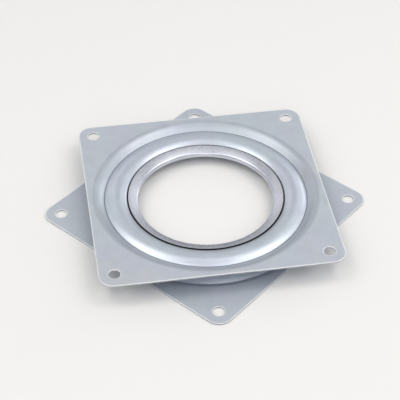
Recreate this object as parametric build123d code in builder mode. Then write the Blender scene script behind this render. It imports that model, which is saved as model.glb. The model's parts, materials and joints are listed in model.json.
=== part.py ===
from build123d import *
import os
from math import cos, radians, tan

# Square lazy susan bearing, in millimetres. The swivel axis is Z. The bottom plate lies on Z = 0,
# square to X and Y, and the top plate stands twisted over it. Both plates are the same pressing:
# a square flat that screws to the furniture, a dish that drops from it towards the other plate,
# and inside the dish a round bead that is the ball race.

# Plates
plate_side = 100.0
corner_radius = 6.0
sheet = 0.8
edge_roll = 0.25
overall_height = 9.5
screw_inset = 6.5
screw_hole = 4.8
hole_bevel = 0.2
top_twist = 49.3

# Dish and ball race pressed into each plate, from its sides inwards
rim_width = 3.7
dish_depth = 2.7
dish_slope = 39.0
dish_bend = 6.6
race_width = 10.5
margin_depth = 3.3

# Balls
ball_diameter = 5.556
ball_play = 0.1
ball_count = 18
full_turn = 360.0

# Retaining ring
ring_sheet = 0.45
lip_length = 0.9
lip_clearance = 0.15
running_gap = 0.2
nose_radius = 1.7
shoulder_angle = 35.0
bore_clearance = 0.05

# Heights: the plates mirror each other about the middle of the bearing
middle = overall_height / 2
crease_height = overall_height - dish_depth
margin_height = overall_height - margin_depth
crest_height = middle + ball_diameter / 2 + ball_play + sheet

# Plan of the pressing
screw_pitch = plate_side - 2 * screw_inset
dish_corner = plate_side / 2 - rim_width
race_outer = dish_corner - dish_depth / tan(radians(dish_slope))
race_radius = race_outer - race_width / 2
race_inner = race_outer - race_width

# The ring seats under the bottom plate's margin and runs clear over the top plate's
ring_bottom = margin_depth - ring_sheet
ring_top = margin_height + running_gap + ring_sheet
ring_half = (ring_top - ring_bottom) / 2
nose_rise = nose_radius * cos(radians(shoulder_angle))
shoulder_radius = (ring_half - nose_rise) / (1 - cos(radians(shoulder_angle)))
nose_turn = 2 * shoulder_angle - 180
lip_radius = race_inner - lip_clearance
bend_radius = lip_radius - lip_length
plate_bore = bend_radius + bore_clearance

os.makedirs("parts", exist_ok=True)

# The pressing both plates share, at the top plate's height and square to X and Y. The section is
# drawn along the sheet's upper face, from the bore out past the corners, and turned round Z. The
# square outline and the screw holes are then punched out of it.
with BuildPart() as pressing:
    with BuildSketch(Plane.XZ):
        with BuildLine() as section:
            margin = Line((plate_bore, margin_height), (race_inner, margin_height))
            race = ThreePointArc(
                margin @ 1, (race_radius, crest_height), (race_outer, crease_height)
            )
            slope = Line(race @ 1, (dish_corner, overall_height))
            Line(slope @ 1, (plate_side, overall_height))
            fillet(section.vertices().sort_by(Axis.X)[-2], dish_bend)
            offset(amount=sheet, side=Side.RIGHT)
        make_face()
    revolve(axis=Axis.Z)
    with BuildSketch():
        RectangleRounded(plate_side, plate_side, corner_radius)
        with GridLocations(screw_pitch, screw_pitch, 2, 2):
            Circle(screw_hole / 2, mode=Mode.SUBTRACT)
    extrude(amount=overall_height, mode=Mode.INTERSECT)
    mounting_face = pressing.faces().filter_by(Plane.XY).sort_by(Axis.Z)[-1]
    fillet(mounting_face.outer_wire().edges(), edge_roll)
    mounting_face = pressing.faces().filter_by(Plane.XY).sort_by(Axis.Z)[-1]
    screw_rims = mounting_face.inner_wires().sort_by(SortBy.LENGTH)[:-1]
    chamfer(screw_rims.edges(), hole_bevel)

with BuildPart() as bottom_plate:
    add(pressing.part)
    mirror(about=Plane.XY.offset(middle), mode=Mode.REPLACE)
bottom_plate.part.label = "bottom_plate"
export_step(bottom_plate.part, "parts/bottom_plate.step")

with BuildPart() as top_plate:
    add(pressing.part, rotation=(0, 0, top_twist))
top_plate.part.label = "top_plate"
export_step(top_plate.part, "parts/top_plate.step")

# One strip of sheet rolled to a U: a lip over each plate, and between them two easy shoulders and a
# tighter nose towards the hole
with BuildPart() as retaining_ring:
    with BuildSketch(Plane.XZ):
        with BuildLine():
            lower_lip = Line((lip_radius, ring_bottom), (bend_radius, ring_bottom))
            lower = JernArc(lower_lip @ 1, lower_lip % 1, shoulder_radius, -shoulder_angle)
            nose = JernArc(lower @ 1, lower % 1, nose_radius, nose_turn)
            upper = JernArc(nose @ 1, nose % 1, shoulder_radius, -shoulder_angle)
            Line(upper @ 1, (lip_radius, ring_top))
            offset(amount=ring_sheet, side=Side.RIGHT)
        make_face()
    revolve(axis=Axis.Z)
retaining_ring.part.label = "retaining_ring"
export_step(retaining_ring.part, "parts/retaining_ring.step")

for number in range(1, ball_count + 1):
    with BuildPart(Plane.XY.offset(middle)) as ball:
        with PolarLocations(race_radius, 1, start_angle=number * full_turn / ball_count):
            Sphere(ball_diameter / 2)
    ball.part.label = f"ball_{number:02d}"
    export_step(ball.part, f"parts/ball_{number:02d}.step")
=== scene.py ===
# %% [markdown]
# # A square lazy susan bearing
# Two pressed plates of zinc-plated sheet steel turn against each other on a row of steel balls, and a
# rolled ring in the centre hole keeps them together. The lower plate screws to a base, the upper one
# to the board that turns. The solid model is loaded first as a fixed frame. It says where each piece
# is and which pieces move together, and everything made here is fitted to it.

# %% Load the frame
import json
import math

import bmesh
import bpy
from mathutils import Matrix, Quaternion, Vector


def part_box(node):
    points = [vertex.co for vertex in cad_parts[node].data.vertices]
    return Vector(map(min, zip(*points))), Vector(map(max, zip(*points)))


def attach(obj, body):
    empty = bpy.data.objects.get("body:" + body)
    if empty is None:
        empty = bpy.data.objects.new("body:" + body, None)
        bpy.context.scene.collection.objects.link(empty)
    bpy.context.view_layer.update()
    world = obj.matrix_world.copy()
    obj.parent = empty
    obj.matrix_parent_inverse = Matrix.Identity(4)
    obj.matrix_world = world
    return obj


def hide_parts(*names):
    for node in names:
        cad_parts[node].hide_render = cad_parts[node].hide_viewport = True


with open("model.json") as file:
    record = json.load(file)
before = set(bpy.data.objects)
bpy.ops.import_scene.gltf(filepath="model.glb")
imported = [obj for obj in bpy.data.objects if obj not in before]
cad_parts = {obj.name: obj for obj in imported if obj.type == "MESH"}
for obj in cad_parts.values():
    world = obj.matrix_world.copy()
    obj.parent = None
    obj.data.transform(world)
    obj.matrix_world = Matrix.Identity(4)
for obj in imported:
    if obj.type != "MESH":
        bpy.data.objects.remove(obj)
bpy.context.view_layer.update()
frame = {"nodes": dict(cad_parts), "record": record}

# %% [markdown]
# ## Sizes
# Outer sizes are read off the frame, so they can't drift from the solids. The pressed section inside
# a plate can't be read from a box, so its few driving sizes are written here in millimetres.

# %% Sizes from the frame
mm = 0.001
quarter_turn = math.pi / 2
mounts = {mount["name"]: mount for mount in frame["record"]["mounts"]}
plate_low, plate_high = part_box("bottom_plate")
ring_low, ring_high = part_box("retaining_ring")
plate_side = plate_high.x - plate_low.x
top_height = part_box("top_plate")[1].z
ball_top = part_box("ball_01")[1].z
screw_pitch = mounts["base_screws"]["dims"]["spacing_x_mm"] * mm
screw_radius = mounts["base_screws"]["dims"]["hole_r_mm"] * mm
first_screw = Vector(mounts["top_screw_1"]["pos_m"])
top_twist = math.atan2(first_screw.y, first_screw.x) + quarter_turn / 2
lip_radius = ring_high.x
print("side", plate_side, "height", top_height, "twist", math.degrees(top_twist), "lip", lip_radius)

# %% Sizes of the pressed section
sheet = 0.8 * mm
corner_radius = 6.0 * mm
rim_width = 3.7 * mm
dish_depth = 2.7 * mm
dish_slope = math.radians(39)
dish_bend = 6.6 * mm
race_width = 10.5 * mm
margin_depth = 3.3 * mm
ball_play = 0.1 * mm
lip_length = 0.9 * mm
bore_clearance = 0.05 * mm
foot_bend = 0.4 * mm
crease_bend = 0.4 * mm
inner_bend = 0.6 * mm

crease_height = top_height - dish_depth
margin_height = top_height - margin_depth
crest_height = ball_top + ball_play + sheet
dish_corner = plate_side / 2 - rim_width
race_outer = dish_corner - dish_depth / math.tan(dish_slope)
race_inner = race_outer - race_width
bore_radius = lip_radius - lip_length + bore_clearance
print("race from", race_inner, "to", race_outer, "bore", bore_radius)

# %% [markdown]
# ## The pressed section
# Every plate has the same section: a flat margin round the bore, the round bead that the balls run
# in, a sharp crease, the sloping wall of the dish and a wide soft bend up to the flat. A lathe needs
# that section as a line of points. Each stretch is an arc or a straight, so the points come from a
# few circles that touch one another. Each point also keeps the direction that is square to the
# sheet, and the underside is the same line moved by the sheet's thickness along it. Only the bend up
# to the flat differs: the press draws it soft on the mounting face and sharp on the inside.

# %% Points along arcs
joint_slack = 0.0005 * mm


def direction(turn):
    """The unit vector at an angle in the (radius, height) plane."""
    return Vector((math.cos(turn), math.sin(turn)))


def heading(vector):
    """The angle of a direction in the section."""
    return math.atan2(vector.y, vector.x)


def arc(centre, radius, start, end, steps):
    """Points on an arc of the section, each with the direction from the arc's centre."""
    rays = [direction(start + (end - start) * step / steps) for step in range(steps + 1)]
    return [(centre + ray * radius, ray) for ray in rays]


def hollow(points):
    """The same arc seen from its hollow side: the sheet's face looks at the centre."""
    return [(point, -ray) for point, ray in points]


def joined(*stretches):
    """One line from several stretches. Where two of them meet, only one point is kept."""
    line = []
    for stretch in stretches:
        meets = line and (line[-1][0] - stretch[0][0]).length < joint_slack
        line += stretch[1:] if meets else stretch
    return line


def circle_through(first, second, third):
    """Centre and radius of the circle through three points."""
    one, two = second - first, third - first
    spread = 2 * (one.x * two.y - one.y * two.x)
    across = two.y * one.length_squared - one.y * two.length_squared
    up = one.x * two.length_squared - two.x * one.length_squared
    centre = first + Vector((across, up)) / spread
    return centre, (first - centre).length


# %% The race and the arcs that lead into it
uphill = direction(dish_slope)
off_slope = Vector((-uphill.y, uphill.x))
race_crest = Vector(((race_inner + race_outer) / 2, crest_height))
crease = Vector((race_outer, crease_height))
race_middle, race_curve = circle_through(Vector((race_inner, margin_height)), race_crest, crease)

foot_height = margin_height + foot_bend
foot_reach = math.sqrt((race_curve + foot_bend) ** 2 - (foot_height - race_middle.y) ** 2)
foot_middle = Vector((race_middle.x - foot_reach, foot_height))

slope_line = crease + off_slope * crease_bend
to_slope = slope_line - race_middle
along = to_slope.dot(uphill)
crease_reach = math.sqrt(along ** 2 - to_slope.length_squared + (race_curve + crease_bend) ** 2)
crease_middle = slope_line + uphill * (crease_reach - along)

half_slope = math.tan(dish_slope / 2)
bend_start = dish_corner + dish_bend * half_slope
bend_middle = Vector((bend_start, top_height - dish_bend))
print("race curve", race_curve, "crest", race_middle.y + race_curve, "bend ends at", bend_start)

# %% The section of the upper face
foot_steps, race_steps, crease_steps, bend_steps = 6, 36, 10, 16
foot_turn = heading(race_middle - foot_middle)
crease_turn = heading(race_middle - crease_middle)
slope_turn = heading(-off_slope)
bowl = joined(
    [(Vector((bore_radius, margin_height)), Vector((0, 1)))],
    hollow(arc(foot_middle, foot_bend, -quarter_turn, foot_turn, foot_steps)),
    arc(race_middle, race_curve, foot_turn + math.pi, crease_turn + math.pi, race_steps),
    hollow(arc(crease_middle, crease_bend, crease_turn, slope_turn, crease_steps)),
)
bend = arc(bend_middle, dish_bend, slope_turn + math.pi, quarter_turn, bend_steps)
print("section points:", len(bowl) + len(bend))

# %% The inside of the bend
inner_steps = 8
inner_start = dish_corner + (sheet + inner_bend) * half_slope
inner_bend_middle = Vector((inner_start, top_height - sheet - inner_bend))
inner_corner = arc(inner_bend_middle, inner_bend, slope_turn + math.pi, quarter_turn, inner_steps)
print("inner corner at", inner_corner[-1][0])

# %% [markdown]
# ## Turning the section into a plate
# A plate could be cut out with booleans, but they leave long slivers that spoil the shine of metal.
# Here a plate is built from closed loops of points instead. The section is turned round the axis
# loop by loop. The punched outline and the screw holes are loops too, a few for each rounded edge.
# Neighbouring loops are joined with four-sided faces, and only the two flats between them are filled.
# A narrow guard loop lies flat beside each bend, so the smooth shading of a bend never leaks onto
# the flat. Each point of a cut edge also carries a value, the rim, which tells the finish where the
# edge is rolled, to get a painted highlight, and where it is sheared, to get painted shade.

# %% Loops and the faces between them
corner_steps = 16


def circle_loop(radius, count, centre=(0, 0)):
    """Plan points of a circle."""
    turns = [2 * math.pi * step / count for step in range(count)]
    return [(centre[0] + radius * math.cos(t), centre[1] + radius * math.sin(t)) for t in turns]


def square_loop(inset):
    """Plan points of the plate's rounded square, drawn in from its edge by inset."""
    reach = plate_side / 2 - corner_radius
    radius = corner_radius - inset
    points = []
    for corner in range(4):
        start = corner * quarter_turn
        middle_x = reach * math.copysign(1, math.cos(start + quarter_turn / 2))
        middle_y = reach * math.copysign(1, math.sin(start + quarter_turn / 2))
        for step in range(corner_steps + 1):
            turn = start + quarter_turn * step / corner_steps
            points.append((middle_x + radius * math.cos(turn), middle_y + radius * math.sin(turn)))
    return points


def add_loop(mesh, plan, height):
    """Lay a closed loop of points at one height."""
    return [mesh.verts.new((x, y, height)) for x, y in plan]


def skin(mesh, loops):
    """Join each loop to the next with a band of four-sided faces."""
    for inner, outer in zip(loops, loops[1:]):
        for here in range(len(inner)):
            after = (here + 1) % len(inner)
            mesh.faces.new((inner[here], inner[after], outer[after], outer[here]))


def fill_between(mesh, loops):
    """Fill the flat that lies between an outline and the openings in it."""
    edges = []
    for loop in loops:
        for here, vert in enumerate(loop):
            edges.append(mesh.edges.get((vert, loop[(here + 1) % len(loop)])))
    bmesh.ops.triangle_fill(mesh, use_beauty=True, use_dissolve=False, edges=edges)


# %% The rounded edge of cut sheet
edge_roll = 0.25 * mm
hole_roll = 0.2 * mm
low_round = 0.2 * mm
side_fade = 0.05 * mm
guard = 0.3 * mm
roll_steps = 5
# Marks for the cut edges: the rolls get a painted highlight, the sheared side gets painted shade.
flat_light_mark, roll_highlight_mark, side_shade_mark = 0.0, 1.0, -1.0


def cut_edge(roll):
    """Steps over a cut edge as (distance in from the cut, height, mark). The mark tells roll and side apart:
    the roll gets a painted highlight, the side painted shade.
    """
    roll_foot = top_height - roll
    low = top_height - sheet
    low_foot = low + low_round
    turns = [quarter_turn * step / roll_steps for step in range(roll_steps + 1)]
    upper = [(roll - roll * math.sin(t), roll_foot + roll * math.cos(t), roll_highlight_mark) for t in turns]
    side = [(0, roll_foot - side_fade, side_shade_mark), (0, low_foot + side_fade, side_shade_mark)]
    under = [
        (low_round - low_round * math.cos(t), low_foot - low_round * math.sin(t), roll_highlight_mark) for t in turns
    ]
    start = [(roll + guard, top_height, flat_light_mark)]
    end = [(low_round + guard, low, flat_light_mark)]
    return start + upper + side + under + end


# %% From a working mesh to a piece
def finished_mesh(mesh, name):
    """Turn a working mesh into mesh data with outward, smooth-shaded faces."""
    bmesh.ops.recalc_face_normals(mesh, faces=mesh.faces)
    for face in mesh.faces:
        face.smooth = True
    data = bpy.data.meshes.new(name)
    mesh.to_mesh(data)
    mesh.free()
    print(name, "faces:", len(data.polygons))
    return data


def new_piece(name, data):
    """An object for a mesh, linked to the scene."""
    piece = bpy.data.objects.new(name, data)
    bpy.context.scene.collection.objects.link(piece)
    return piece


# %% One plate pressing
lathe_steps = 384
hole_steps = 64
bore_soft = 0.1 * mm


def dish_outline():
    """The dish and bead from the flat in to the bore, and back out along the underside."""
    upper = [(point.x, point.y) for point, face in bowl + bend]
    lower = [(point.x - face.x * sheet, point.y - face.y * sheet) for point, face in bowl]
    lower += [(point.x, point.y) for point, face in inner_corner]
    upper[0] = (bore_radius + bore_soft, margin_height)
    lower[0] = (bore_radius + bore_soft, margin_height - sheet)
    bore_edge = [(bore_radius, margin_height - bore_soft), (bore_radius, margin_height - sheet + bore_soft)]
    start = [(bend_start + guard, top_height)]
    end = [(bend_start + guard, top_height - sheet)]
    return start + upper[::-1] + bore_edge + lower + end


def hole_outline(middle):
    """The plan of one screw hole, as a function of the distance back from its edge."""
    def outline(inset):
        return circle_loop(screw_radius + inset, hole_steps, middle)
    return outline


def add_cut(mesh, rim, roll, outline):
    """The loops over one cut edge, each with its mark for painted highlight or shade. The outline gives their
    plan.
    """
    loops = []
    for inset, height, light_mark in cut_edge(roll):
        loop = add_loop(mesh, outline(inset), height)
        for vert in loop:
            vert[rim] = light_mark
        loops.append(loop)
    skin(mesh, loops)
    return loops


def pressing_mesh(name):
    """The pressing that both plates share, mounting face up and square to X and Y."""
    mesh = bmesh.new()
    rim = mesh.verts.layers.float.new("rim")
    dish = [add_loop(mesh, circle_loop(radius, lathe_steps), height) for radius, height in dish_outline()]
    skin(mesh, dish)
    stretches = [dish, add_cut(mesh, rim, edge_roll, square_loop)]
    for side_x in (-1, 1):
        for side_y in (-1, 1):
            middle = (side_x * screw_pitch / 2, side_y * screw_pitch / 2)
            stretches.append(add_cut(mesh, rim, hole_roll, hole_outline(middle)))
    fill_between(mesh, [loops[0] for loops in stretches])
    fill_between(mesh, [loops[-1] for loops in stretches])
    return finished_mesh(mesh, name)


# %% [markdown]
# ## The two plates
# Both plates are the same pressing. The upper one stands as pressed, turned by the twist. The lower
# one is turned over about its X axis, which leaves its bead hanging down and its flat on the floor.
# The turns go into the mesh itself, so each object keeps the frame's own axes.

# %% Place the plates
top_plate = new_piece("top_plate_pressing", pressing_mesh("top_plate_pressing"))
top_plate.data.transform(Matrix.Rotation(top_twist, 4, "Z"))
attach(top_plate, "top")
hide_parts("top_plate")

bottom_plate = new_piece("bottom_plate_pressing", pressing_mesh("bottom_plate_pressing"))
turn_over = Matrix.Rotation(math.pi, 4, "X")
bottom_plate.data.transform(Matrix.Translation((0, 0, top_height)) @ turn_over)
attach(bottom_plate, "base")
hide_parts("bottom_plate")

# %% [markdown]
# ## The retaining ring
# A strip of thinner sheet is rolled through the bore and its two lips are spun outwards, one over
# each plate. The lower lip lies on its plate. The upper one runs clear of its plate, as a shallow
# cone that falls towards the hole and ends in a tight roll. It is a lathe again: the outside of the
# U, the rounded edge of one lip, the inside of the U and the edge of the other lip.

# %% The arcs of the ring
ring_sheet = 0.45 * mm
lip_soft = 0.12 * mm
nose_radius = 1.7 * mm
shoulder_angle = math.radians(35)
ring_half = (ring_high.z - ring_low.z) / 2
nose_rise = nose_radius * math.cos(shoulder_angle)
shoulder_radius = (ring_half - nose_rise) / (1 - math.cos(shoulder_angle))
bend_radius = lip_radius - lip_length
lower_shoulder = Vector((bend_radius, ring_low.z + shoulder_radius))
lower_turn = 3 * quarter_turn - shoulder_angle
nose_middle = lower_shoulder + direction(lower_turn) * (shoulder_radius - nose_radius)
hole_radius = nose_middle.x - nose_radius

cone_tilt = math.radians(18)
cone_lift = 0.45 * mm
cone_reach = 0.65 * mm
roll_radius = 1.05 * mm
cone_edge = Vector((lip_radius + cone_reach, ring_high.z + cone_lift))
cone_turn = quarter_turn + cone_tilt
roll_x = hole_radius + roll_radius
roll_touch = roll_x + roll_radius * math.cos(cone_turn)
roll_height = cone_edge.y - (cone_edge.x - roll_touch) * math.tan(cone_tilt)
roll_middle = Vector((roll_x, roll_height - roll_radius * math.sin(cone_turn)))
print("hole radius", hole_radius, "roll centre", roll_middle)

# %% Roll the ring
roll_arc_steps, nose_steps, shoulder_steps, lip_steps = 16, 14, 12, 4


def ring_face(depth):
    """The ring's sheet at a depth in from its outside, from the cone round the hole to the lower lip."""
    line = joined(
        arc(roll_middle, roll_radius - depth, cone_turn, math.pi, roll_arc_steps),
        arc(nose_middle, nose_radius - depth, math.pi, lower_turn, nose_steps),
        arc(lower_shoulder, shoulder_radius - depth, lower_turn, 3 * quarter_turn, shoulder_steps),
    )
    return [point for point, ray in line]


def lip_edge(corner, outward):
    """The rounded edge of one lip, from its outer face to its inner one. outward is square to the lip."""
    along = Vector((abs(outward.y), -outward.x * math.copysign(1, outward.y)))
    start = heading(along)
    side = math.copysign(quarter_turn, outward.y)
    outer = corner - along * lip_soft - outward * lip_soft
    inner = corner - along * lip_soft - outward * (ring_sheet - lip_soft)
    over = arc(outer, lip_soft, start + side, start, lip_steps)
    under = arc(inner, lip_soft, start, start - side, lip_steps)
    return [point for point, ray in over + under]


ring_outline = ring_face(0)[::-1] + lip_edge(cone_edge, direction(cone_turn))
ring_outline += ring_face(ring_sheet) + lip_edge(Vector((lip_radius, ring_low.z)), Vector((0, -1)))[::-1]
ring_mesh = bmesh.new()
ring_loops = [
    add_loop(ring_mesh, circle_loop(point.x, lathe_steps), point.y) for point in ring_outline
]
skin(ring_mesh, ring_loops + ring_loops[:1])
ring = new_piece("rolled_ring", finished_mesh(ring_mesh, "rolled_ring"))
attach(ring, "base")
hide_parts("retaining_ring")

# %% [markdown]
# ## Helpers for the finishes
# A finish is a small tree of nodes. Patterns are placed by each piece's own coordinates, in
# millimetres, so they keep their real scale and turn with the piece. Marks that a tool leaves as it
# goes round need another place: the direction from the axis, the radius and the height. A noise that
# is slow along the direction and quick across it then draws lines that close round the circle.


# %% Nodes and materials
def add_node(tree, kind, inputs=None, **settings):
    """One shader node with its settings. An input takes a value or another node's output."""
    made = tree.nodes.new(kind)
    for name, value in settings.items():
        setattr(made, name, value)
    for name, value in (inputs or {}).items():
        if isinstance(value, bpy.types.NodeSocket):
            tree.links.new(value, made.inputs[name])
        else:
            made.inputs[name].default_value = value
    return made


def new_metal(name, metallic=1.0):
    """A metal with an otherwise empty node tree, and its shader."""
    material = bpy.data.materials.new(name)
    material.use_nodes = True
    tree = material.node_tree
    tree.nodes.clear()
    shader = add_node(tree, "ShaderNodeBsdfPrincipled", {"Metallic": metallic})
    add_node(tree, "ShaderNodeOutputMaterial", {"Surface": shader.outputs["BSDF"]})
    return material, tree, shader


# %% Sums, ranges and colours
def work(tree, operation, first, second=0.0):
    """One sum on two values or outputs."""
    made = add_node(tree, "ShaderNodeMath", {0: first, 1: second}, operation=operation)
    return made.outputs["Value"]


def scaled(tree, value, factor):
    """A pattern made weaker or stronger."""
    return work(tree, "MULTIPLY", value, factor)


def between(tree, value, low, high, at_low=0.0, at_high=1.0, soft=True):
    """Carry a value from one range to another, and hold it at the ends."""
    kind = "SMOOTHSTEP" if soft else "LINEAR"
    inputs = {"Value": value, "From Min": low, "From Max": high, "To Min": at_low, "To Max": at_high}
    return add_node(tree, "ShaderNodeMapRange", inputs, interpolation_type=kind).outputs["Result"]


def coloured(tree, value, stops):
    """Turn a value from 0 to 1 into colour through a ramp of (place, colour) stops."""
    made = add_node(tree, "ShaderNodeValToRGB", {"Fac": value})
    ramp = made.color_ramp
    while len(ramp.elements) < len(stops):
        ramp.elements.new(1.0)
    for element, (place, colour) in zip(ramp.elements, stops):
        element.position = place
        element.color = (*colour, 1)
    return made.outputs["Color"]


def laid_over(tree, amount, under, over, mode="MIX"):
    """Lay one colour over another by an amount."""
    made = add_node(tree, "ShaderNodeMix", data_type="RGBA", blend_type=mode)
    sockets = {socket.identifier: socket for socket in made.inputs}
    for name, value in (("Factor_Float", amount), ("A_Color", under), ("B_Color", over)):
        if isinstance(value, bpy.types.NodeSocket):
            tree.links.new(value, sockets[name])
        else:
            sockets[name].default_value = value if name == "Factor_Float" else (*value, 1)
    return next(socket for socket in made.outputs if socket.identifier == "Result_Color")


# %% Relief
bump_strength = 0.7


def raised(tree, relief, depth):
    """The normals of a skin whose relief is about as deep as depth."""
    inputs = {"Height": relief, "Distance": depth * mm, "Strength": bump_strength}
    return add_node(tree, "ShaderNodeBump", inputs).outputs["Normal"]


# %% Places and patterns
def piece_place(tree, shift=(0, 0, 0), stretch=(1, 1, 1), turn=0.0):
    """A piece's own coordinates in millimetres, shifted so that no two pieces match."""
    coords = add_node(tree, "ShaderNodeTexCoord").outputs["Object"]
    scale = tuple(along / mm for along in stretch)
    inputs = {"Vector": coords, "Scale": scale, "Location": shift, "Rotation": (0, 0, turn)}
    return add_node(tree, "ShaderNodeMapping", inputs).outputs["Vector"]


def round_place(tree, slow):
    """The direction from the axis, eased by slow, with the radius as the third part, and the height."""
    spot = add_node(tree, "ShaderNodeSeparateXYZ", {"Vector": piece_place(tree)})
    flat_spot = add_node(
        tree, "ShaderNodeCombineXYZ", {"X": spot.outputs["X"], "Y": spot.outputs["Y"]}
    ).outputs["Vector"]
    radius = add_node(tree, "ShaderNodeVectorMath", {0: flat_spot}, operation="LENGTH").outputs["Value"]
    ray = add_node(tree, "ShaderNodeVectorMath", {0: flat_spot}, operation="NORMALIZE").outputs["Vector"]
    ray_parts = add_node(tree, "ShaderNodeSeparateXYZ", {"Vector": ray})
    place = add_node(tree, "ShaderNodeCombineXYZ", {
        "X": work(tree, "MULTIPLY", ray_parts.outputs["X"], slow),
        "Y": work(tree, "MULTIPLY", ray_parts.outputs["Y"], slow),
        "Z": radius,
    }).outputs["Vector"]
    return place, radius, spot.outputs["Z"]


noise_middle = 0.5
no_detail, plain_detail, fine_detail = 0.0, 2.0, 3.0


def cloud(tree, place, size, detail=plain_detail, height=None):
    """Noise whose patches are about as large as size, in millimetres."""
    inputs = {"Vector": place, "Scale": 1 / size, "Detail": detail}
    if height is None:
        return add_node(tree, "ShaderNodeTexNoise", inputs).outputs["Fac"]
    inputs["W"] = height
    return add_node(tree, "ShaderNodeTexNoise", inputs, noise_dimensions="4D").outputs["Fac"]


speck_core = 0.5


def specks(tree, place, spacing, size, share):
    """Small round spots: one in each cell of a Voronoi pattern, kept in a share of the cells."""
    inputs = {"Vector": place, "Scale": 1 / spacing}
    cells = add_node(tree, "ShaderNodeTexVoronoi", inputs)
    spot = between(tree, cells.outputs["Distance"], speck_core * size / spacing, size / spacing, 1.0, 0.0)
    lot = add_node(tree, "ShaderNodeSeparateColor", {"Color": cells.outputs["Color"]}).outputs["Red"]
    kept = work(tree, "LESS_THAN", lot, share)
    return work(tree, "MULTIPLY", spot, kept)


scratch_slimness = 60
scratch_fade = 0.06


def scratches(tree, shift, turn, spacing, share):
    """Fine straight handling scratches: the peaks of a noise that is long one way and narrow the other."""
    place = piece_place(tree, shift, (1 / spacing, scratch_slimness / spacing, 1 / spacing), turn)
    strands = cloud(tree, place, 1.0, detail=no_detail)
    return between(tree, strands, 1 - share, 1 - share + scratch_fade)


# %% [markdown]
# ## Bright zinc plate
# The plates are plated with bright zinc and dipped in a clear blue passivate. The dip leaves a satin
# skin with faint cloudy patches of blue, lavender and cream. The press tool has rubbed the bead
# brighter and smoother than the flats and left faint lines round it. The groove beside the ring and
# the crease are darkened with painted shade. Here and there are a dark pit, a fleck and a fine
# handling scratch. All this could be painted on an image, but nodes keep their scale at any distance,
# so each mark is a pattern of its own. The zones are found by the radius, and the cut edges by the
# "rim" value that the mesh carries: above 0 on a roll, which gets a painted highlight, below 0 on the
# sheared side, which gets painted shade. Sizes in these cells are in millimetres.

# %% Zones of a pressing
foot_fade = (-0.3, 0.2)
crease_fade = (-0.35, 0.05)
dish_fade = 1.5
# The groove beside the ring and the crease get painted shade: its width, core and strength.
groove_width, groove_fade = 0.8, 0.3
crease_line, crease_core, crease_shade_depth = 0.35, 0.05, 0.65


def pressing_zones(tree, radius):
    """How far a point lies on the bead, in the dish and in the painted shade of groove and crease, found by
    its radius.
    """
    past_foot = between(tree, radius, race_inner / mm + foot_fade[0], race_inner / mm + foot_fade[1])
    past_crease = between(tree, radius, race_outer / mm + crease_fade[0], race_outer / mm + crease_fade[1])
    on_bead = work(tree, "SUBTRACT", past_foot, past_crease)
    in_dish = between(tree, radius, bend_start / mm - dish_fade, bend_start / mm, 1.0, 0.0)
    groove_end = cone_edge.x / mm + groove_width
    in_groove = between(tree, radius, groove_end - groove_fade, groove_end, 1.0, 0.0)
    from_crease = work(tree, "ABSOLUTE", work(tree, "SUBTRACT", radius, crease_middle.x / mm))
    in_crease = between(tree, from_crease, crease_core, crease_line, crease_shade_depth, 0.0)
    return on_bead, in_dish, work(tree, "MAXIMUM", in_groove, in_crease)


# %% Marks on the zinc
pit_spacing, pit_size, pit_share = 7.0, 0.26, 0.3
fleck_spacing, fleck_size, fleck_share = 6.0, 0.2, 0.35
scratch_turns = (0.5, 2.1)
scratch_lengths = (9.0, 12.0)
scratch_share = 0.22


def zinc_marks(tree, shift, in_dish):
    """Dark pits, pale flecks and, outside the dish, scratches that lie two ways."""
    other_shift = shift[::-1]
    pits = specks(tree, piece_place(tree, shift), pit_spacing, pit_size, pit_share)
    flecks = specks(tree, piece_place(tree, other_shift), fleck_spacing, fleck_size, fleck_share)
    one_way = scratches(tree, shift, scratch_turns[0], scratch_lengths[0], scratch_share)
    other_way = scratches(tree, other_shift, scratch_turns[1], scratch_lengths[1], scratch_share)
    scores = work(tree, "MAXIMUM", one_way, other_way)
    return pits, flecks, work(tree, "MULTIPLY", scores, work(tree, "SUBTRACT", 1.0, in_dish))


# %% Patterns in the skin
patch_size, bloom_size, grain_size, tool_line = 34.0, 5.0, 0.9, 0.55
tool_slow = 6.0
grain_range = (0.25, 0.75)
cloud_range = (0.3, 0.7)
grain_greys = (0.975, 1.02)
bloom_greys = (0.97, 1.03)


def zinc_skin(tree, shift):
    """The slow patches of hue, the fine grain, and the brightness that grain and bloom give."""
    place = piece_place(tree, shift)
    patches = cloud(tree, place, patch_size)
    grain = cloud(tree, place, grain_size)
    bloom = cloud(tree, place, bloom_size)
    grain_grey = between(tree, grain, *grain_range, *grain_greys, soft=False)
    bloom_grey = between(tree, bloom, *cloud_range, *bloom_greys, soft=False)
    return patches, grain, work(tree, "MULTIPLY", grain_grey, bloom_grey)


# %% Zinc colours and surface
pit_colour, pit_cover = (0.20, 0.20, 0.22), 0.65
fleck_colour, fleck_cover = (0.74, 0.75, 0.76), 0.35
score_colour, score_cover = (0.76, 0.77, 0.78), 0.22
# Painted highlight on the rolled edges, painted shade on the sheared sides.
rim_highlight_colour, rim_highlight_cover = (0.84, 0.86, 0.88), 0.75
side_shade_colour, side_shade_cover = (0.22, 0.23, 0.25), 0.75
# Painted shade colour, for the groove and crease and for the ring's lip edge.
painted_shade_colour, painted_shade_cover = (0.03, 0.03, 0.035), 0.9
flat_grey, bead_grey, tool_grey = 0.84, 1.07, 0.10
flat_metal, wall_metal, bead_metal = 0.26, 0.65, 0.72
flat_rough, wall_rough, bead_rough = 0.42, 0.38, 0.35
rim_smooth, score_smooth, tool_rough = 0.10, 0.10, 0.12
grain_roughs = (-0.03, 0.03)
patch_roughs = (0.03, -0.03)
grain_relief, tool_relief, pit_relief, score_relief = 0.06, 0.5, 1.5, 0.8
zinc_bump = 0.008


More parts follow.
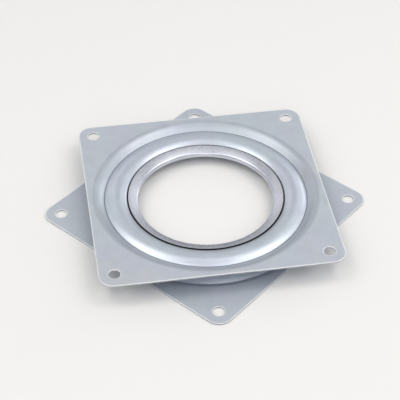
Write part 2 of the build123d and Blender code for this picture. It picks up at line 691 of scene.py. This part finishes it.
def by_zone(tree, on_bead, in_dish, flat, wall, bead):
    """A value that differs between the flat, the dish's wall and the bead."""
    off_bead = between(tree, in_dish, 0.0, 1.0, flat, wall, soft=False)
    return between(tree, on_bead, 0.0, 1.0, off_bead, bead, soft=False)


# %% Zinc plate
def zinc_plate(name, shift, stops):
    """Passivated zinc on one plate. The stops are the colours that its cloudy patches run through."""
    material, tree, shader = new_metal(name)
    tool_place, radius, height = round_place(tree, tool_slow)
    on_bead, in_dish, groove_and_crease_shade = pressing_zones(tree, radius)
    patches, grain, grey = zinc_skin(tree, shift)
    pits, flecks, scores = zinc_marks(tree, shift, in_dish)
    tool_waves = work(tree, "SUBTRACT", cloud(tree, tool_place, tool_line, height=height), noise_middle)
    tool_marks = work(tree, "MULTIPLY", tool_waves, in_dish)
    # The rim value: above 0 paints a highlight on the rolls, below 0 paints shade on the sheared side.
    light_mark = add_node(tree, "ShaderNodeAttribute", attribute_name="rim").outputs["Fac"]
    rim = work(tree, "MAXIMUM", light_mark, flat_light_mark)
    cut_side = work(tree, "MAXIMUM", scaled(tree, light_mark, side_shade_mark), flat_light_mark)

    colour = coloured(tree, between(tree, patches, *cloud_range, soft=False), stops)
    grey = work(tree, "ADD", grey, scaled(tree, tool_marks, tool_grey))
    grey = work(tree, "MULTIPLY", grey, by_zone(tree, on_bead, in_dish, flat_grey, flat_grey, bead_grey))
    colour = laid_over(tree, 1.0, colour, grey, "MULTIPLY")
    colour = laid_over(tree, scaled(tree, pits, pit_cover), colour, pit_colour)
    colour = laid_over(tree, scaled(tree, flecks, fleck_cover), colour, fleck_colour)
    colour = laid_over(tree, scaled(tree, scores, score_cover), colour, score_colour)
    # Painted highlight on the rolled edges, then painted shade on the sheared sides.
    colour = laid_over(tree, scaled(tree, rim, rim_highlight_cover), colour, rim_highlight_colour)
    colour = laid_over(tree, scaled(tree, cut_side, side_shade_cover), colour, side_shade_colour)
    # Painted shade in the groove beside the ring and in the crease.
    colour = laid_over(tree, scaled(tree, groove_and_crease_shade, painted_shade_cover), colour, painted_shade_colour)
    tree.links.new(colour, shader.inputs["Base Color"])
    metal = by_zone(tree, on_bead, in_dish, flat_metal, wall_metal, bead_metal)
    tree.links.new(metal, shader.inputs["Metallic"])

    rough = by_zone(tree, on_bead, in_dish, flat_rough, wall_rough, bead_rough)
    rough = work(tree, "ADD", rough, between(tree, grain, *grain_range, *grain_roughs, soft=False))
    rough = work(tree, "ADD", rough, between(tree, patches, *cloud_range, *patch_roughs, soft=False))
    rough = work(tree, "ADD", rough, scaled(tree, tool_marks, tool_rough))
    rough = work(tree, "SUBTRACT", rough, scaled(tree, scores, score_smooth))
    rough = work(tree, "SUBTRACT", rough, scaled(tree, rim, rim_smooth))
    tree.links.new(rough, shader.inputs["Roughness"])

    relief = work(tree, "ADD", scaled(tree, grain, grain_relief), scaled(tree, tool_marks, tool_relief))
    relief = work(tree, "SUBTRACT", relief, scaled(tree, pits, pit_relief))
    relief = work(tree, "SUBTRACT", relief, scaled(tree, scores, score_relief))
    tree.links.new(raised(tree, relief, zinc_bump), shader.inputs["Normal"])
    return material


# %% Zinc on the two plates
blue_zinc = (0.545, 0.610, 0.690)
lavender_zinc = (0.565, 0.605, 0.700)
plain_zinc = (0.570, 0.627, 0.695)
cream_zinc = (0.605, 0.640, 0.675)
top_stops = ((0.0, blue_zinc), (0.35, plain_zinc), (0.6, lavender_zinc), (1.0, cream_zinc))
bottom_stops = ((0.0, blue_zinc), (0.4, lavender_zinc), (0.7, plain_zinc), (1.0, lavender_zinc))
top_shift = (13.0, 41.0, 7.0)
bottom_shift = (87.0, 5.0, 29.0)
top_plate.data.materials.append(zinc_plate("zinc_top", top_shift, top_stops))
bottom_plate.data.materials.append(zinc_plate("zinc_bottom", bottom_shift, bottom_stops))
print("zinc on", top_plate.name, "and", bottom_plate.name)

# %% [markdown]
# ## The ring's rolled steel
# The ring is spun after it is plated, so the rollers have dulled its skin to a lilac grey and drawn
# fine lines round it, with small dark flecks where the plating has lifted. The edge of its upper lip
# is darkened with painted shade for the gap beside it. The lines could be a stretched noise, but that
# would tear where the circle closes. They are laid by the round place instead, which closes on itself.

# %% Ring steel
ring_grey = (0.670, 0.690, 0.770)
ring_pale = (0.730, 0.750, 0.825)
ring_dull = (0.610, 0.630, 0.715)
ring_stops = ((0.0, ring_dull), (0.5, ring_grey), (1.0, ring_pale))
lifted_colour, lifted_cover, lifted_rough = (0.28, 0.27, 0.28), 0.5, 0.15
lifted_spacing, lifted_size, lifted_share = 2.6, 0.2, 0.3
roller_slow, roller_line, roller_patch = 4.0, 0.3, 7.0
tone_range = (0.6, 1.4)
roller_roughs = (0.24, 0.36)
ring_shift = (3.0, 71.0, 19.0)
edge_fade = (-0.17, -0.02)
ring_bump = 0.006


def rolled_steel(name):
    """Plated strip that the rollers have rubbed."""
    material, tree, shader = new_metal(name)
    place = piece_place(tree, ring_shift)
    roll_place, radius, height = round_place(tree, roller_slow)
    lines = cloud(tree, roll_place, roller_line, height=work(tree, "DIVIDE", height, roller_line))
    patches = cloud(tree, place, roller_patch, detail=fine_detail)
    lifted = specks(tree, place, lifted_spacing, lifted_size, lifted_share)
    tone = work(tree, "ADD", lines, patches)
    colour = coloured(tree, between(tree, tone, *tone_range, soft=False), ring_stops)
    colour = laid_over(tree, scaled(tree, lifted, lifted_cover), colour, lifted_colour)
    # Painted shade at the edge of the upper lip, where the gap runs.
    lip_edge_shade = between(tree, radius, cone_edge.x / mm + edge_fade[0], cone_edge.x / mm + edge_fade[1])
    colour = laid_over(tree, lip_edge_shade, colour, painted_shade_colour)
    tree.links.new(colour, shader.inputs["Base Color"])
    rough = between(tree, lines, *grain_range, *roller_roughs, soft=False)
    rough = work(tree, "ADD", rough, scaled(tree, lifted, lifted_rough))
    tree.links.new(rough, shader.inputs["Roughness"])
    relief = work(tree, "SUBTRACT", lines, lifted)
    tree.links.new(raised(tree, relief, ring_bump), shader.inputs["Normal"])
    return material


ring.data.materials.append(rolled_steel("ring_rolled_steel"))
print("ring finish on", ring.name)

# %% [markdown]
# ## The balls
# The balls are hard polished steel with a thin smear of oil. Only a glint of them shows between the
# plates from low down. The solid balls are round already, so they stay and only get this finish.

# %% Ball steel
ball_bright = (0.66, 0.65, 0.64)
ball_oiled = (0.54, 0.52, 0.49)
smear_size = 2.2
smear_range = (0.4, 0.65)
ball_roughs = (0.10, 0.24)


def ball_steel(name):
    """Polished steel under a patchy smear of oil."""
    material, tree, shader = new_metal(name)
    smear = between(tree, cloud(tree, piece_place(tree), smear_size, detail=fine_detail), *smear_range)
    tree.links.new(laid_over(tree, smear, ball_bright, ball_oiled), shader.inputs["Base Color"])
    rough = between(tree, smear, 0.0, 1.0, *ball_roughs, soft=False)
    tree.links.new(rough, shader.inputs["Roughness"])
    return material


ball_finish = ball_steel("ball_steel")
balls = [node for name, node in frame["nodes"].items() if name.startswith("ball_")]
for ball in balls:
    ball.data.materials.clear()
    ball.data.materials.append(ball_finish)
print("ball finish on", len(balls), "balls")

# %% [markdown]
# ## Floor
# The bearing lies on a plain pale floor, large enough to fill the view. Far from the lamps a floor
# turns dark, and a low camera would see that. So the far floor fades to a plain pale grey. The light
# path limits this to what the camera sees, directly or in a shine, so the far floor throws no more
# light on the bearing.

# %% Floor
floor_reach = 4.0
floor_drop = 0.02 * mm
floor_colour = (0.8, 0.8, 0.8, 1)
floor_rough = 0.9
far_grey = 0.55
floor_fade = (0.25, 0.9)
floor_mesh = bmesh.new()
bmesh.ops.create_grid(floor_mesh, x_segments=1, y_segments=1, size=floor_reach)
floor = new_piece("floor", finished_mesh(floor_mesh, "floor"))
floor.location.z = -floor_drop
floor_material = bpy.data.materials.new("floor")
floor_material.use_nodes = True
floor_tree = floor_material.node_tree
floor_tree.nodes.clear()
floor_inputs = {"Base Color": floor_colour, "Roughness": floor_rough}
near_floor = add_node(floor_tree, "ShaderNodeBsdfPrincipled", floor_inputs).outputs["BSDF"]
far_floor = add_node(floor_tree, "ShaderNodeEmission", {"Strength": far_grey}).outputs["Emission"]
floor_place = add_node(floor_tree, "ShaderNodeTexCoord").outputs["Object"]
floor_radius = add_node(floor_tree, "ShaderNodeVectorMath", {0: floor_place}, operation="LENGTH")
distant = between(floor_tree, floor_radius.outputs["Value"], *floor_fade)
paths = add_node(floor_tree, "ShaderNodeLightPath").outputs
in_shine = work(floor_tree, "MAXIMUM", paths["Is Glossy Ray"], paths["Is Transmission Ray"])
seen = work(floor_tree, "MAXIMUM", paths["Is Camera Ray"], in_shine)
faded = work(floor_tree, "MULTIPLY", distant, seen)
floor_mix = add_node(floor_tree, "ShaderNodeMixShader", {0: faded, 1: near_floor, 2: far_floor})
add_node(floor_tree, "ShaderNodeOutputMaterial", {"Surface": floor_mix.outputs["Shader"]})
floor.data.materials.append(floor_material)
print("floor fades to a grey of", far_grey, "from", floor_fade[0], "to", floor_fade[1])

# %% [markdown]
# ## Studio light
# Sheet metal looks like what stands round it, so the light is what gives the bead its shine. A ring
# of round softboxes stands about the bearing. The pair at the sides, a little warmer than the others,
# draws the long bright streaks on the bead, the low ones light the ring and the wall of the dish, and
# a wide dim one hangs overhead. A dim even dome fills the rest. Each box is set by how bright its
# face looks, not by its power in watts, so a box can change size without changing the look of the
# shine. Each entry is a direction from the camera (0 is behind the camera, 90 is to its right), a
# rise above the floor, a radius in metres and the brightness of the face.

# %% Softboxes
camera_turn = math.radians(40.18)
box_distance = 0.9
warm_white = (1.0, 0.95, 0.87)
warm_boxes = ("left", "right")
softboxes = {
    "left": (-94, 57, 0.25, 2.25),
    "right": (94, 57, 0.25, 2.25),
    "front_left": (-33, 57, 0.22, 1.4),
    "front_right": (33, 57, 0.22, 1.5),
    "high_left": (-125, 68, 0.22, 0.7),
    "high_right": (125, 68, 0.22, 0.9),
    "side_left": (-110, 34, 0.22, 0.65),
    "side_right": (110, 34, 0.22, 0.95),
    "back": (180, 36, 0.36, 0.28),
    "back_left": (-152, 34, 0.22, 0.5),
    "back_right": (150, 34, 0.22, 0.7),
    "low_back_left": (-138, 12, 0.22, 0.7),
    "low_back_right": (138, 12, 0.22, 2.0),
    "low_left": (-60, 35, 0.22, 1.3),
    "low_right": (60, 35, 0.22, 1.6),
    "low_front": (0, 30, 0.26, 1.7),
    "overhead": (0, 86, 0.55, 0.32),
}


def add_softbox(name, turn, rise, radius, brightness):
    """A round area lamp that looks at the bearing, with a face of a given brightness."""
    data = bpy.data.lights.new("softbox_" + name, "AREA")
    data.shape = "DISK"
    data.size = 2 * radius
    data.energy = brightness * math.pi * math.pi * radius ** 2
    if name in warm_boxes:
        data.color = warm_white
    box = bpy.data.objects.new("softbox_" + name, data)
    bpy.context.scene.collection.objects.link(box)
    azimuth = camera_turn + math.radians(turn)
    level = math.cos(math.radians(rise))
    away = Vector((level * math.sin(azimuth), -level * math.cos(azimuth), math.sin(math.radians(rise))))
    box.location = away * box_distance
    box.rotation_euler = (-away).to_track_quat("-Z", "Y").to_euler()


for name, setting in softboxes.items():
    add_softbox(name, *setting)
print("softboxes:", len(softboxes))

# %% [markdown]
# ## Dome
# The dome is the world round the scene. It is one even grey that fills the shadows at a dim level,
# and it is what the bearing mirrors between the softboxes.

# %% Dome
dome_colour = (1, 1, 1, 1)
dome_strength = 0.25
world = bpy.data.worlds.new("studio")
bpy.context.scene.world = world
world.use_nodes = True
dome = world.node_tree.nodes["Background"]
dome.inputs["Color"].default_value = dome_colour
dome.inputs["Strength"].default_value = dome_strength
print("dome", dome_strength)

# %% [markdown]
# ## Camera
# The camera stands at the photo's viewing angle, a little over 40 degrees up and with a corner of the
# lower plate towards it. The place, the aim, the small roll and the lens were found by matching the
# plates' corners and screw holes to the photo. The view transform is Standard, so a colour comes out
# as it was written.

# %% Camera
camera_place = Vector((263.12, -315.38, 373.45)) * mm
camera_target = Vector((-1.54, -1.96, 4.75)) * mm
camera_roll = math.radians(0.31)
sensor_width = 36.0
lens = 116.78
camera_data = bpy.data.cameras.new("camera")
camera_data.sensor_width = sensor_width
camera_data.lens = lens
camera = bpy.data.objects.new("camera", camera_data)
bpy.context.scene.collection.objects.link(camera)
camera.location = camera_place
camera.rotation_mode = "QUATERNION"
look = (camera_target - camera_place).to_track_quat("-Z", "Y")
camera.rotation_quaternion = look @ Quaternion((0, 0, 1), camera_roll)
bpy.context.scene.camera = camera
bpy.context.scene.view_settings.view_transform = "Standard"
print("camera at", camera_place)
